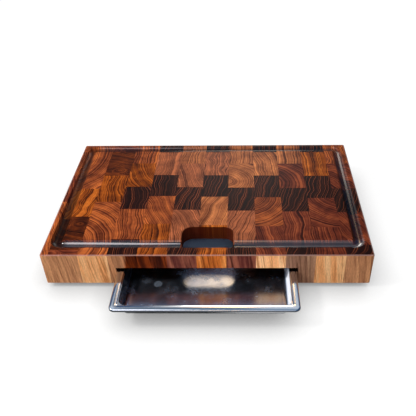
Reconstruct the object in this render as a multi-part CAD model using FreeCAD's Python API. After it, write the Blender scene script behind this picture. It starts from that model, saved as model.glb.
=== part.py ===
import FreeCAD, Part
import math
import os

# An end-grain cutting board with a steel tray that slides in a T-shaped bay under it.
# Millimetres. X runs left to right, Y front to back and Z up, with Z = 0 on the counter.
# The board is glued up from blocks, and every block is a piece of its own.

# The steel tray, which everything else is laid out around
TRAY_WIDTH = 276.5
TRAY_LENGTH = 325.0
SHEET = 0.8
RIM_HEIGHT = 4.0
RIM_CORNER = 9.0
RIM_FOLD = 1.6  # outside radius of the fold between flange and lip
FLANGE_WIDTH = 11.0  # outside of the lip to the wall of the well
WELL_DEPTH = 25.0
WELL_STEP = 2.4  # depth of the square-cornered step at the mouth of the well
STEP_CORNER = 3.5
WELL_CORNER = 14.0
WELL_DRAFT = 4.5  # how much narrower each side of the well is at its floor
WELL_FILLET = 8.0
PULLED_OUT = 85.0  # rim in front of the board in the stored pose

# The T-shaped bay that the tray slides in
LEDGE_HEIGHT = 24.5  # board's underside to the top of the ledges
SLOT_HEIGHT = 8.0  # ledge to the deck above the rim
DECK = 25.5  # wood above the slot
LEDGE_WIDTH = 9.0
SIDE_CLEARANCE = 2.25
RIDE_CLEARANCE = 0.3
BACK_CLEARANCE = 1.0  # behind the tray when it is pushed in
BAY_CORNER = 6.0

# The glued board around the bay
RAIL = 113.5  # wood beside the bay, left and right
BACK_WALL = 18.0
GRIP = 14.0  # how far the rim stands proud of the front when the tray is pushed in
CORNER_RADIUS = 3.0  # the four upright corners
EDGE_RADIUS = 1.5  # round-over of the top edge
BOTTOM_CHAMFER = 1.0

# Strips of blocks run front to back. The first and the last strip over the bay also hold
# its sides, and the strips beyond them are as wide, until they are trimmed at the board's ends.
STRIPS_OVER_BAY = 7
LEFT_CHEEK = 10.7  # side of the bay to the outer side of its strip
RIGHT_CHEEK = 25.8

# Each strip is a slice across a panel of planks, given here from back to front. The planks are
# ripped in these proportions, so that the panel is as deep as the board.
PLAIN_PLANKS = (("walnut", 151.0), ("walnut", 81.5), ("walnut", 84.0), ("walnut", 13.5))
FEATURE_PLANKS = (
    ("walnut", 67.5),
    ("walnut", 77.5),
    ("wenge", 66.5),
    ("walnut", 79.5),
    ("wenge", 39.0),
)
# Every other strip is turned end for end, and set forward by this much. The front is then trimmed.
PLAIN_TURNED_SHIFT = 11.5
FEATURE_TURNED_SHIFT = -12.0
PLANK_TAPER = 0.006  # share by which the planks widen from one strip to the next

# The juice groove is cut by a ball-ended tool on a path that dips towards the front
GROOVE_RADIUS = 10.5
GROOVE_INNER_TURN = 0.2  # radius that the inside of the tool leaves round a corner of its path
GROOVE_FRONT_DEPTH = 6.3
GROOVE_BACK_DEPTH = 4.0
GROOVE_FRONT_INSET = 28.0  # board edge to the middle of the groove
GROOVE_BACK_INSET = 16.0
GROOVE_SIDE_INSET = 17.8

# The chute through the deck, which the groove drains into
CHUTE_WIDTH = 81.5
CHUTE_DEPTH = 51.5
CHUTE_RADIUS = 16.0
CHUTE_CHAMFER = 0.8
CHUTE_GAP = 0.7  # the groove's front edge to the chute's front wall

# Feet, each with a screw
FOOT_HEIGHT = 8.0
FOOT_TOP_RADIUS = 14.0
FOOT_BOTTOM_RADIUS = 12.5
FOOT_INSET_X = 30.0
FOOT_INSET_Y = 32.0
RECESS_RADIUS = 6.0
WEB_THICKNESS = 3.0  # rubber between the recess and the board
HEAD_RADIUS = 4.4
HEAD_HEIGHT = 2.4
SHANK_RADIUS = 2.0
SCREW_GRIP = 16.0  # length of shank in the wood
PILOT_CLEARANCE = 0.05

# Places worked out from the sizes above
SLOT_WIDTH = TRAY_WIDTH + 2.0 * SIDE_CLEARANCE
BAY_DEPTH = TRAY_LENGTH - GRIP + BACK_CLEARANCE
BOARD_WIDTH = SLOT_WIDTH + 2.0 * RAIL
BOARD_DEPTH = BAY_DEPTH + BACK_WALL
BOARD_THICKNESS = LEDGE_HEIGHT + SLOT_HEIGHT + DECK
STRIP_WIDTH = (SLOT_WIDTH + LEFT_CHEEK + RIGHT_CHEEK) / STRIPS_OVER_BAY
Z_UNDERSIDE = FOOT_HEIGHT
Z_LEDGE = Z_UNDERSIDE + LEDGE_HEIGHT
Z_CEILING = Z_LEDGE + SLOT_HEIGHT
Z_TOP = Z_CEILING + DECK
X_LEFT = -BOARD_WIDTH / 2.0
X_BAY_STRIPS = -SLOT_WIDTH / 2.0 - LEFT_CHEEK
Y_FRONT = (PULLED_OUT - BOARD_DEPTH) / 2.0
Y_BACK = Y_FRONT + BOARD_DEPTH
Y_BAY_END = Y_FRONT + BAY_DEPTH
CUT = 1.0  # how far a cutting solid runs past the face it starts from


def vec(x, y, z):
    return FreeCAD.Vector(x, y, z)


def slab(x_low, x_high, y_low, y_high, z_low, z_high):
    """A plain block between two corners."""
    return Part.makeBox(x_high - x_low, y_high - y_low, z_high - z_low, vec(x_low, y_low, z_low))


def rounded_wire(width, y_low, y_high, z, radius):
    """A rectangle with round corners, centred on X = 0."""
    half = width / 2.0
    bend = radius * math.sqrt(0.5)
    corners = [(half, y_high, 1, 1), (-half, y_high, -1, 1), (-half, y_low, -1, -1), (half, y_low, 1, -1)]
    arcs = []
    for number, (x, y, side, end) in enumerate(corners):
        centre = vec(x - side * radius, y - end * radius, z)
        on_side = centre + vec(side * radius, 0, 0)
        on_end = centre + vec(0, end * radius, 0)
        middle = centre + vec(side * bend, end * bend, 0)
        start, stop = (on_side, on_end) if number % 2 == 0 else (on_end, on_side)
        arcs.append((start, middle, stop))
    edges = []
    for number, (start, middle, stop) in enumerate(arcs):
        edges.append(Part.Arc(start, middle, stop).toShape())
        edges.append(Part.makeLine(stop, arcs[(number + 1) % len(arcs)][0]))
    return Part.Wire(edges)


def rounded_prism(width, y_low, y_high, z_low, z_high, radius):
    """An upright prism on a rectangle with round corners."""
    wire = rounded_wire(width, y_low, y_high, z_low, radius)
    return Part.Face(wire).extrude(vec(0, 0, z_high - z_low))


def edges_at(shape, z, test=None):
    """The edges that lie at one height."""
    found = []
    for edge in shape.Edges:
        box = edge.BoundBox
        level = abs(box.ZMin - z) < 1e-4 and abs(box.ZMax - z) < 1e-4
        if level and (test is None or test(box)):
            found.append(edge)
    return found


def board_blank():
    """The glued board before it is cut: an eased block."""
    blank = slab(X_LEFT, -X_LEFT, Y_FRONT, Y_BACK, Z_UNDERSIDE, Z_TOP)
    upright = [e for e in blank.Edges if e.BoundBox.ZLength > BOARD_THICKNESS / 2.0]
    blank = blank.makeFillet(CORNER_RADIUS, upright)
    blank = blank.makeFillet(EDGE_RADIUS, edges_at(blank, Z_TOP))
    return blank.makeChamfer(BOTTOM_CHAMFER, edges_at(blank, Z_UNDERSIDE))


def half_bay(width, z_low, z_high):
    """One level of the bay, open at the front and with routed corners at the back."""
    bay = slab(-width / 2.0, width / 2.0, Y_FRONT - CUT, Y_BAY_END, z_low, z_high)
    back = []
    for edge in bay.Edges:
        box = edge.BoundBox
        if box.ZLength > (z_high - z_low) / 2.0 and box.YMin > Y_BAY_END - CUT:
            back.append(edge)
    return bay.makeFillet(BAY_CORNER, back)


def tray_bay():
    """The T-shaped bay: a slot for the rim over a narrower space for the well."""
    slot = half_bay(SLOT_WIDTH, Z_LEDGE, Z_CEILING)
    below = half_bay(SLOT_WIDTH - 2.0 * LEDGE_WIDTH, Z_UNDERSIDE - CUT, Z_LEDGE)
    return slot.fuse(below)


def groove_front_half_width():
    """Half the groove's width where it meets the top face, along the front."""
    height = GROOVE_RADIUS - GROOVE_FRONT_DEPTH
    return math.sqrt(GROOVE_RADIUS**2 - height**2)


def scrap_chute():
    """The hole through the deck, with its front wall just behind the groove's front edge."""
    y_low = Y_FRONT + GROOVE_FRONT_INSET - groove_front_half_width() + CHUTE_GAP
    return rounded_prism(CHUTE_WIDTH, y_low, y_low + CHUTE_DEPTH, Z_LEDGE, Z_TOP + CUT, CHUTE_RADIUS)


def groove_corner(x, y, turn):
    """The quarter turn of the ball-ended tool about a corner of its path."""
    circle = Part.makeCircle(GROOVE_RADIUS, vec(GROOVE_RADIUS + GROOVE_INNER_TURN, 0, 0), vec(0, 1, 0))
    quarter = Part.Face(Part.Wire([circle])).revolve(vec(0, 0, 0), vec(0, 0, 1), 90)
    quarter.rotate(vec(0, 0, 0), vec(0, 0, 1), turn)
    quarter.translate(vec(x, y, 0))
    return quarter


def juice_groove():
    """The groove's cutting solid, made level and then tilted so that it drains to the front."""
    half = BOARD_WIDTH / 2.0 - GROOVE_SIDE_INSET
    run = BOARD_DEPTH - GROOVE_FRONT_INSET - GROOVE_BACK_INSET
    rise = GROOVE_FRONT_DEPTH - GROOVE_BACK_DEPTH
    length = math.hypot(run, rise)
    turn = GROOVE_RADIUS + GROOVE_INNER_TURN
    x_turn, y_near, y_far = half - turn, turn, length - turn
    tool = [
        Part.makeCylinder(GROOVE_RADIUS, 2.0 * x_turn, vec(-x_turn, 0, 0), vec(1, 0, 0)),
        Part.makeCylinder(GROOVE_RADIUS, 2.0 * x_turn, vec(-x_turn, length, 0), vec(1, 0, 0)),
        Part.makeCylinder(GROOVE_RADIUS, y_far - y_near, vec(-half, y_near, 0), vec(0, 1, 0)),
        Part.makeCylinder(GROOVE_RADIUS, y_far - y_near, vec(half, y_near, 0), vec(0, 1, 0)),
        groove_corner(x_turn, y_far, 0),
        groove_corner(-x_turn, y_far, 90),
        groove_corner(-x_turn, y_near, 180),
        groove_corner(x_turn, y_near, 270),
    ]
    groove = tool[0].fuse(tool[1:])
    groove.rotate(vec(0, 0, 0), vec(1, 0, 0), math.degrees(math.asin(rise / length)))
    groove.translate(vec(0, Y_FRONT + GROOVE_FRONT_INSET, Z_TOP + GROOVE_RADIUS - GROOVE_FRONT_DEPTH))
    return groove


def foot_places():
    """The four feet's centres on the underside."""
    x = BOARD_WIDTH / 2.0 - FOOT_INSET_X
    ends = (Y_FRONT + FOOT_INSET_Y, Y_BACK - FOOT_INSET_Y)
    return [vec(side * x, y, 0) for side in (-1, 1) for y in ends]


def pilot_holes():
    """The holes in the wood for the feet's screws."""
    radius = SHANK_RADIUS + PILOT_CLEARANCE
    depth = SCREW_GRIP + PILOT_CLEARANCE + CUT
    start = vec(0, 0, Z_UNDERSIDE - CUT)
    return [Part.makeCylinder(radius, depth, place + start) for place in foot_places()]


def cut_board():
    """The board with its bay, chute, groove and pilot holes, still in one piece."""
    board = board_blank().cut(tray_bay()).cut(scrap_chute())
    reach = CHUTE_WIDTH / 2.0 + CUT
    mouth = edges_at(board, Z_TOP, lambda box: -reach < box.XMin and box.XMax < reach)
    board = board.makeChamfer(CHUTE_CHAMFER, mouth)
    return board.cut(juice_groove()).cut(pilot_holes())


def strip_spans():
    """The place of each strip, counted from the left strip over the bay, with its sides."""
    first = -math.ceil((X_BAY_STRIPS - X_LEFT) / STRIP_WIDTH)
    spans = []
    place, left = first, X_LEFT
    while left < -X_LEFT:
        right = min(X_BAY_STRIPS + (place + 1) * STRIP_WIDTH, -X_LEFT)
        spans.append((place, left, right))
        place, left = place + 1, right
    return spans


def block_spans(place):
    """The wood, front and back of each block in a strip, from back to front."""
    if place < 0:
        planks, shift, taper = PLAIN_PLANKS, PLAIN_TURNED_SHIFT, 0.0
    else:
        planks, shift, taper = FEATURE_PLANKS, FEATURE_TURNED_SHIFT, PLANK_TAPER
    fit = BOARD_DEPTH / sum(width for wood, width in planks) * (1.0 + taper * place)
    reach = 0.0
    if place % 2 == 1:
        planks, reach = planks[::-1], shift
    spans = []
    start = 0.0
    for index, (wood, width) in enumerate(planks):
        reach += width * fit
        last = index == len(planks) - 1
        stop = BOARD_DEPTH if last else min(reach, BOARD_DEPTH)
        if stop > start:
            spans.append((wood, Y_BACK - stop, Y_BACK - start))
        start = stop
    return spans


def blocks():
    """Every block of the board, cut out of the finished board where it stands."""
    board = cut_board()
    made = {}
    for number, (place, left, right) in enumerate(strip_spans(), 1):
        for index, (wood, front, back) in enumerate(block_spans(place), 1):
            cell = slab(left, right, front, back, Z_UNDERSIDE - CUT, Z_TOP + CUT)
            made[f"strip_{number:02d}_block_{index}_{wood}"] = board.common(cell)
    return made


def well_solid(grow, z_rim, y_low, y_high):
    """The space inside the tray's well, or its outside when grown by the sheet."""
    width = TRAY_WIDTH - 2.0 * FLANGE_WIDTH + 2.0 * grow
    z_step, z_floor = z_rim - WELL_STEP - grow, z_rim - WELL_DEPTH - grow
    front, back = y_low + FLANGE_WIDTH - grow, y_high - FLANGE_WIDTH + grow
    step = rounded_prism(width, front, back, z_step, z_rim, STEP_CORNER + grow)
    mouth = rounded_wire(width, front, back, z_step, WELL_CORNER + grow)
    narrow, corner = width - 2.0 * WELL_DRAFT, WELL_CORNER + grow - WELL_DRAFT
    floor = rounded_wire(narrow, front + WELL_DRAFT, back - WELL_DRAFT, z_floor, corner)
    well = Part.makeLoft([floor, mouth], True, True)
    well = well.makeFillet(WELL_FILLET + grow, edges_at(well, z_floor))
    return step.fuse(well)


def steel_tray():
    """The pressed tray: a flange with a turned-down lip round a drafted well."""
    z_rim = Z_LEDGE + RIDE_CLEARANCE + RIM_HEIGHT
    y_low = Y_FRONT - PULLED_OUT
    y_high = y_low + TRAY_LENGTH
    outside = rounded_prism(TRAY_WIDTH, y_low, y_high, z_rim - RIM_HEIGHT, z_rim, RIM_CORNER)
    outside = outside.makeFillet(RIM_FOLD, edges_at(outside, z_rim))
    width, corner = TRAY_WIDTH - 2.0 * SHEET, RIM_CORNER - SHEET
    z_low, z_high = z_rim - RIM_HEIGHT - CUT, z_rim - SHEET
    hollow = rounded_prism(width, y_low + SHEET, y_high - SHEET, z_low, z_high, corner)
    rim = outside.cut(hollow)
    return rim.fuse(well_solid(SHEET, z_rim, y_low, y_high)).cut(well_solid(0.0, z_rim, y_low, y_high))


def rubber_foot(place):
    """A tapered foot with a recess for its screw."""
    foot = Part.makeCone(FOOT_BOTTOM_RADIUS, FOOT_TOP_RADIUS, FOOT_HEIGHT, place)
    recess = Part.makeCylinder(RECESS_RADIUS, FOOT_HEIGHT - WEB_THICKNESS + CUT, place - vec(0, 0, CUT))
    hole = Part.makeCylinder(SHANK_RADIUS + PILOT_CLEARANCE, FOOT_HEIGHT + CUT, place)
    return foot.cut([recess, hole])


def foot_screw(place):
    """A cheese-headed wood screw, head down in the foot's recess."""
    seat = FOOT_HEIGHT - WEB_THICKNESS
    head = Part.makeCylinder(HEAD_RADIUS, HEAD_HEIGHT, place + vec(0, 0, seat - HEAD_HEIGHT))
    length = Z_UNDERSIDE + SCREW_GRIP - seat
    shank = Part.makeCylinder(SHANK_RADIUS, length, place + vec(0, 0, seat))
    return head.fuse(shank)


def make_nodes():
    """Every piece by its node's name."""
    made = blocks()
    made["steel_tray"] = steel_tray()
    places = foot_places()
    made["rubber_feet"] = Part.Compound([rubber_foot(place) for place in places])
    made["foot_screws"] = Part.Compound([foot_screw(place) for place in places])
    return made


os.makedirs("parts", exist_ok=True)
for name, shape in make_nodes().items():
    shape.exportStep(f"parts/{name}.step")
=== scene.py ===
"""Dresses an end-grain cutting board and the polished steel tray that slides under it.

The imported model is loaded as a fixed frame, in metres, with X to the right, Y to the back and
Z up from the counter. The wooden blocks keep their own shape and get their grain here. The tray,
the feet and the screws are modelled again with soft edges.
"""

from __future__ import annotations

import logging
import math
import random
from dataclasses import dataclass, field
from enum import Enum
from functools import cached_property
from typing import Callable, Iterable, TypeAlias

import bpy
from mathutils import Matrix, Vector

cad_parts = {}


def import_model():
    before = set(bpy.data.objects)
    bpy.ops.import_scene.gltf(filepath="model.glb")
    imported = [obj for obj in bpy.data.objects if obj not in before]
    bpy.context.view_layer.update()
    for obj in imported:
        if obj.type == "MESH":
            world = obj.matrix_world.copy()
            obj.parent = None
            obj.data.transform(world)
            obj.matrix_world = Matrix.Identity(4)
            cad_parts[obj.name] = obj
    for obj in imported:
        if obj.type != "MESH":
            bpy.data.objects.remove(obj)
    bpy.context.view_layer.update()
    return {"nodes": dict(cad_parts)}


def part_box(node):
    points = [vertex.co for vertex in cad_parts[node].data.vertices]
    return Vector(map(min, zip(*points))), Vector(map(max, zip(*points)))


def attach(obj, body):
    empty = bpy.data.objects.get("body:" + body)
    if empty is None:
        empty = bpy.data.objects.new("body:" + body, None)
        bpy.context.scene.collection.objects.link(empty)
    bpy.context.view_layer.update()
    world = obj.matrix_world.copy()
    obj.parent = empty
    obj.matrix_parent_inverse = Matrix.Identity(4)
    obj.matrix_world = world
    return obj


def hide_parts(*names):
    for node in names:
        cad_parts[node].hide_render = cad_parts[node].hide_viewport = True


LOG = logging.getLogger("cutting_board")
MM = 0.001

Colour: TypeAlias = tuple[float, float, float]
Point: TypeAlias = tuple[float, float, float]
Ramp: TypeAlias = tuple[float, float]
"""Where something begins and where it is full, or the least and the most that it comes to."""
Feed: TypeAlias = "Signal | float | Point"
"""What can feed a socket: another socket, a number, a place or a colour."""

UP: Point = (0.0, 0.0, 1.0)
RIGHT: Point = (1.0, 0.0, 0.0)
FRONT: Point = (0.0, -1.0, 0.0)
WARM_WHITE: Colour = (1.0, 0.99, 0.97)

# Places of the colour sockets on a mix node, whose sockets share their names
COLOUR_A = 6
COLOUR_B = 7
COLOUR_OUT = 2
COLOUR_CHANNELS = 4

FACING = 0.9
"""How far a face looks along a way before it counts as facing it."""
TOUCH = 0.1
"""Millimetres within which two heights are the same."""


# ---------------------------------------------------------------- colours and node trees


def display(red: int, green: int, blue: int) -> Colour:
    """Turns a display colour into the linear colour that a shader takes.

    Args:
        red: Red from 0 to 255.
        green: Green from 0 to 255.
        blue: Blue from 0 to 255.

    Returns:
        The linear colour.
    """

    def linear(value: int) -> float:
        """One channel, without the display's curve."""
        share = value / 255.0
        return share / 12.92 if share <= 0.04045 else ((share + 0.055) / 1.055) ** 2.4

    return (linear(red), linear(green), linear(blue))


class NodeSketch:
    """Adds nodes to one tree and joins them up."""

    def __init__(self, tree: bpy.types.NodeTree) -> None:
        """Starts on an empty tree."""
        self.tree = tree
        tree.nodes.clear()

    def put(self, socket: bpy.types.NodeSocket, value: Feed) -> None:
        """Feeds a socket from a signal or with a constant.

        Args:
            socket: The input to feed.
            value: A signal, a number, a place or a colour.
        """
        if isinstance(value, Signal):
            self.tree.links.new(value.socket, socket)
        elif isinstance(value, tuple) and len(socket.default_value) == COLOUR_CHANNELS:
            socket.default_value = (*value, 1.0)
        else:
            socket.default_value = value

    def make(self, kind: str, output: str | int, inputs: dict[str | int, Feed], **settings: object) -> Signal:
        """Adds a node, feeds it and takes one of its outputs.

        Args:
            kind: The node's type name.
            output: The name or number of the output.
            inputs: What feeds its inputs, by their names or numbers.
            settings: Properties to set on the node.

        Returns:
            The output.
        """
        node = self.tree.nodes.new(kind)
        for name, value in settings.items():
            setattr(node, name, value)
        for name, value in inputs.items():
            self.put(node.inputs[name], value)
        return Signal(self, node.outputs[output])

    def math(self, operation: str, *values: Feed) -> Signal:
        """Joins numbers by arithmetic."""
        return self.make("ShaderNodeMath", 0, dict(enumerate(values)), operation=operation)

    def vector(self, operation: str, *values: Feed) -> Signal:
        """Joins places or colours by arithmetic, which gives a number for a length."""
        output = "Value" if operation in ("LENGTH", "DOT_PRODUCT") else "Vector"
        return self.make("ShaderNodeVectorMath", output, dict(enumerate(values)), operation=operation)

    def close(self, shader: Signal, kind: str = "ShaderNodeOutputMaterial") -> None:
        """Joins a shader to the tree's output."""
        self.put(self.tree.nodes.new(kind).inputs["Surface"], shader)


class Signal:
    """What a socket gives: a number, a place or a colour, open to plain arithmetic."""

    def __init__(self, sketch: NodeSketch, socket: bpy.types.NodeSocket) -> None:
        """Wraps a node's output."""
        self.sketch = sketch
        self.socket = socket

    def __add__(self, other: Feed) -> Signal:
        """Adds a number."""
        return self.sketch.math("ADD", self, other)

    def __sub__(self, other: Feed) -> Signal:
        """Takes a number away."""
        return self.sketch.math("SUBTRACT", self, other)

    def __rsub__(self, other: float) -> Signal:
        """Takes this away from a plain number."""
        return self.sketch.math("SUBTRACT", other, self)

    def __mul__(self, other: Feed) -> Signal:
        """Multiplies by a number."""
        return self.sketch.math("MULTIPLY", self, other)

    def __truediv__(self, other: Feed) -> Signal:
        """Divides by a number."""
        return self.sketch.math("DIVIDE", self, other)

    def __abs__(self) -> Signal:
        """Drops the sign."""
        return self.sketch.math("ABSOLUTE", self)

    def least(self, other: Feed) -> Signal:
        """The smaller of two numbers."""
        return self.sketch.math("MINIMUM", self, other)

    def most(self, other: Feed) -> Signal:
        """The larger of two numbers."""
        return self.sketch.math("MAXIMUM", self, other)

    def ease(self, start: float, full: float) -> Signal:
        """Rises smoothly from 0 at one value to 1 at another, which may lie below it."""
        inputs = {"Value": self, "From Min": start, "From Max": full}
        return self.sketch.make("ShaderNodeMapRange", "Result", inputs, interpolation_type="SMOOTHSTEP")

    def remap(self, low: float, high: float) -> Signal:
        """Spreads 0 to 1 over a new range."""
        return self.sketch.math("MULTIPLY_ADD", self, high - low, low)

    def stretch(self, scale: Point) -> Signal:
        """Scales a place along each axis."""
        return self.sketch.vector("MULTIPLY", self, scale)

    def along(self, way: Point) -> Signal:
        """How far a place or a direction reaches along a way."""
        return self.sketch.vector("DOT_PRODUCT", self, way)

    def reach(self, centre: tuple[float, float], squeeze: float = 1.0) -> Signal:
        """Distance from an upright line at a place, with more weight along Y for a squeeze over 1."""
        away = self.sketch.vector("SUBTRACT", self, (*centre, 0.0)).stretch((1.0, squeeze, 0.0))
        return self.sketch.vector("LENGTH", away)

    def noise(self, scale: float, detail: float) -> Signal:
        """Smooth noise from 0 to 1 over a place."""
        inputs = {"Vector": self, "Scale": scale, "Detail": detail}
        return self.sketch.make("ShaderNodeTexNoise", "Fac", inputs, noise_dimensions="3D")

    def noise_along(self, scale: float, detail: float) -> Signal:
        """Smooth noise from 0 to 1 along one number."""
        inputs = {"W": self, "Scale": scale, "Detail": detail}
        return self.sketch.make("ShaderNodeTexNoise", "Fac", inputs, noise_dimensions="1D")

    def mix(self, first: Feed, second: Feed) -> Signal:
        """Mixes two colours, with this share of the second."""
        inputs = {"Factor": self, COLOUR_A: first, COLOUR_B: second}
        return self.sketch.make("ShaderNodeMix", COLOUR_OUT, inputs, data_type="RGBA")

    def tint(self, colour: Feed) -> Signal:
        """A colour, made this much brighter."""
        inputs = {0: colour, "Scale": self}
        return self.sketch.make("ShaderNodeVectorMath", "Vector", inputs, operation="SCALE")

    def relief(self, strength: float, depth: float) -> Signal:
        """The bumped normal of a height from 0 to 1, whose full depth is in millimetres."""
        inputs = {"Height": self, "Strength": strength, "Distance": depth * MM}
        return self.sketch.make("ShaderNodeBump", "Normal", inputs)


class SurfaceSketch(NodeSketch):
    """A material in the making, with the places on its surface in millimetres."""

    def __init__(self, name: str) -> None:
        """Starts a material.

        Args:
            name: The material's name.
        """
        self.material = bpy.data.materials.new(name)
        self.material.use_nodes = True
        super().__init__(self.material.node_tree)
        self.place = self.make("ShaderNodeTexCoord", "Object", {}).stretch((1.0 / MM, 1.0 / MM, 1.0 / MM))

    @cached_property
    def facing_up(self) -> Signal:
        """How far the surface looks up, from -1 to 1."""
        return self.make("ShaderNodeTexCoord", "Normal", {}).along(UP)

    @cached_property
    def x(self) -> Signal:
        """Millimetres to the right."""
        return self.make("ShaderNodeSeparateXYZ", "X", {0: self.place})

    @cached_property
    def y(self) -> Signal:
        """Millimetres to the back."""
        return self.make("ShaderNodeSeparateXYZ", "Y", {0: self.place})

    @cached_property
    def z(self) -> Signal:
        """Millimetres up."""
        return self.make("ShaderNodeSeparateXYZ", "Z", {0: self.place})

    def finish(self, inputs: dict[str | int, Feed]) -> bpy.types.Material:
        """Ends the material in a plain shader.

        Args:
            inputs: What feeds the shader's inputs, by their names.

        Returns:
            The material.
        """
        self.close(self.make("ShaderNodeBsdfPrincipled", "BSDF", inputs))
        return self.material


@dataclass(frozen=True)
class Mottle:
    """Marks made of smooth noise."""

    scale: float
    """Marks per millimetre, or per growth ring."""
    detail: float
    """Octaves of finer noise."""
    start: float
    """How strong the noise is where a mark begins."""
    full: float
    """How strong it is where a mark is full."""

    def over(self, place: Signal) -> Signal:
        """The marks over a surface, from 0 to 1."""
        return place.noise(self.scale, self.detail).ease(self.start, self.full)

    def along(self, count: Signal) -> Signal:
        """The marks along one number, from 0 to 1."""
        return count.noise_along(self.scale, self.detail).ease(self.start, self.full)


# ---------------------------------------------------------------- timber


@dataclass(frozen=True)
class Timber:
    """The colours of one plank: its dark lines, its body and its pale wood."""

    late: Colour
    body: Colour
    pale: Colour


class Tone(Enum):
    """The tones that the planks come in, the first eight across the grain, the rest along it."""

    DEEP = Timber(display(20, 7, 3), display(72, 28, 11), display(130, 62, 24))
    CHESTNUT = Timber(display(44, 14, 10), display(98, 42, 27), display(152, 76, 44))
    RUSSET = Timber(display(54, 20, 11), display(128, 62, 33), display(198, 106, 50))
    AMBER = Timber(display(44, 14, 4), display(142, 68, 22), display(200, 110, 40))
    HONEY = Timber(display(80, 38, 22), display(148, 84, 50), display(212, 130, 76))
    ROSE = Timber(display(72, 34, 22), display(134, 74, 48), display(190, 108, 68))
    TAWNY = Timber(display(40, 12, 3), display(118, 54, 14), display(178, 92, 30))
    WENGE = Timber(display(9, 3, 3), display(29, 10, 8), display(132, 66, 40))
    OAT = Timber(display(138, 88, 60), display(190, 132, 94), display(222, 160, 114))
    STRAW = Timber(display(184, 114, 66), display(242, 170, 112), display(252, 198, 144))
    FAWN = Timber(display(88, 58, 46), display(146, 104, 82), display(182, 138, 108))
    UMBER = Timber(display(16, 5, 2), display(56, 18, 7), display(150, 62, 18))
    BRICK = Timber(display(34, 12, 10), display(92, 42, 36), display(156, 88, 66))
    EMBER = Timber(display(110, 44, 14), display(204, 108, 42), display(244, 158, 82))


@dataclass(frozen=True)
class Growth:
    """How the growth rings run through one block, seen from above."""

    tone: Tone
    side: Tone = Tone.OAT
    """The tone of its upright faces."""
    toward: float = 180.0
    """Degrees from +X to the middle of the rings."""
    radius: float = 500.0
    """Millimetres from the block's middle to the middle of the rings."""
    ring: float = 5.0
    """Millimetres from one growth line to the next, before the end grain's fineness."""
    sway: float = 5.0
    """Millimetres that the lines wander from a true circle, before the end grain's wander and ripple."""
    knot: tuple[float, float] | None = None
    """Millimetres from the block's middle to a knot, where there is one."""
    lit_end: float | None = None
    # Where along X the painted light on its upright faces ends, in millimetres, where it has any; they are
    # paler to the left of it.
    """Where along X the pale sapwood of its upright faces ends, in millimetres, where it has any."""


# The growth of each walnut block, by strip from the left and then from back to front
WALNUT_GROWTH: dict[int, tuple[Growth, ...]] = {
    1: (
        Growth(Tone.RUSSET, toward=150.0),
        Growth(Tone.RUSSET, toward=170.0),
        Growth(Tone.CHESTNUT, toward=190.0),
        Growth(Tone.RUSSET, toward=200.0),
    ),
    2: (
        Growth(Tone.RUSSET, toward=160.0, radius=105.0, ring=6.5, sway=3.0),
        Growth(Tone.AMBER, toward=170.0, radius=300.0, ring=6.5, sway=8.0),
        Growth(Tone.DEEP, toward=70.0, radius=300.0, ring=4.0, knot=(11.0, 24.0)),
        Growth(Tone.CHESTNUT, toward=100.0, radius=120.0, ring=4.0, knot=(-20.0, 0.0)),
    ),
    3: (
        Growth(Tone.CHESTNUT, toward=95.0, radius=200.0, knot=(-18.0, 0.0)),
        Growth(Tone.DEEP, toward=75.0, radius=200.0, ring=5.0, sway=6.0, knot=(4.0, -23.0)),
        Growth(Tone.TAWNY, toward=8.0, radius=300.0, ring=7.0, sway=6.0),
        Growth(Tone.RUSSET, Tone.STRAW, toward=215.0, radius=75.0, ring=6.0, sway=3.0),
    ),
    4: (
        Growth(Tone.RUSSET, ring=7.0),
        Growth(Tone.TAWNY, toward=22.0, radius=250.0, ring=5.0),
        Growth(Tone.RUSSET, toward=185.0, radius=600.0, ring=6.0, sway=6.0),
    ),
    5: (
        Growth(Tone.ROSE, toward=175.0, radius=300.0, ring=6.5, sway=7.0),
        Growth(Tone.RUSSET, toward=25.0, radius=220.0, ring=4.2, sway=4.0),
        Growth(Tone.AMBER, Tone.UMBER, ring=7.0, sway=6.0),
    ),
    6: (
        Growth(Tone.HONEY, radius=600.0, ring=7.0),
        Growth(Tone.ROSE, toward=18.0, radius=300.0, ring=4.6),
        Growth(Tone.ROSE, toward=200.0, radius=120.0, ring=5.5),
    ),
    7: (
        Growth(Tone.ROSE, radius=400.0, ring=6.0, sway=9.0),
        Growth(Tone.HONEY, toward=-17.0, radius=300.0, ring=4.0, sway=4.0),
        Growth(Tone.AMBER, Tone.EMBER, ring=6.0),
    ),
    8: (
        Growth(Tone.HONEY, ring=5.5, sway=4.0),
        Growth(Tone.HONEY, toward=217.0, radius=31.0, ring=5.0, sway=3.0),
        Growth(Tone.ROSE, toward=-14.0, radius=350.0, ring=5.5),
    ),
    9: (
        Growth(Tone.HONEY, toward=190.0, radius=300.0, ring=5.0),
        Growth(Tone.RUSSET, toward=133.0, radius=63.0, ring=5.5, sway=3.0),
        Growth(Tone.CHESTNUT, Tone.STRAW, toward=15.0, radius=300.0, ring=5.0),
    ),
    10: (
        Growth(Tone.HONEY, radius=800.0, ring=7.0, sway=3.0),
        Growth(Tone.CHESTNUT, toward=207.0, radius=55.0, ring=8.0, sway=3.0),
        Growth(Tone.CHESTNUT, ring=6.0, sway=4.0),
    ),
    11: (
        Growth(Tone.AMBER, ring=6.0, sway=4.0),
        Growth(Tone.CHESTNUT, toward=56.0, radius=74.0, ring=7.0, sway=3.0),
        Growth(Tone.CHESTNUT, Tone.STRAW, ring=6.0, sway=4.0),
    ),
    12: (
        Growth(Tone.RUSSET, ring=6.0, sway=8.0),
        Growth(Tone.CHESTNUT, toward=225.0, radius=90.0, ring=7.0),
        Growth(Tone.CHESTNUT, toward=30.0, radius=250.0),
    ),
}

# The wenge strips whose upright faces are unlike the others', by number from the left: painted light and
# shade, paler at the ends of the front where light falls and darker above the tray where shade falls
WENGE_PAINTED_SIDES: dict[int, Tone] = {4: Tone.UMBER, 10: Tone.FAWN, 12: Tone.OAT}
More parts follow.
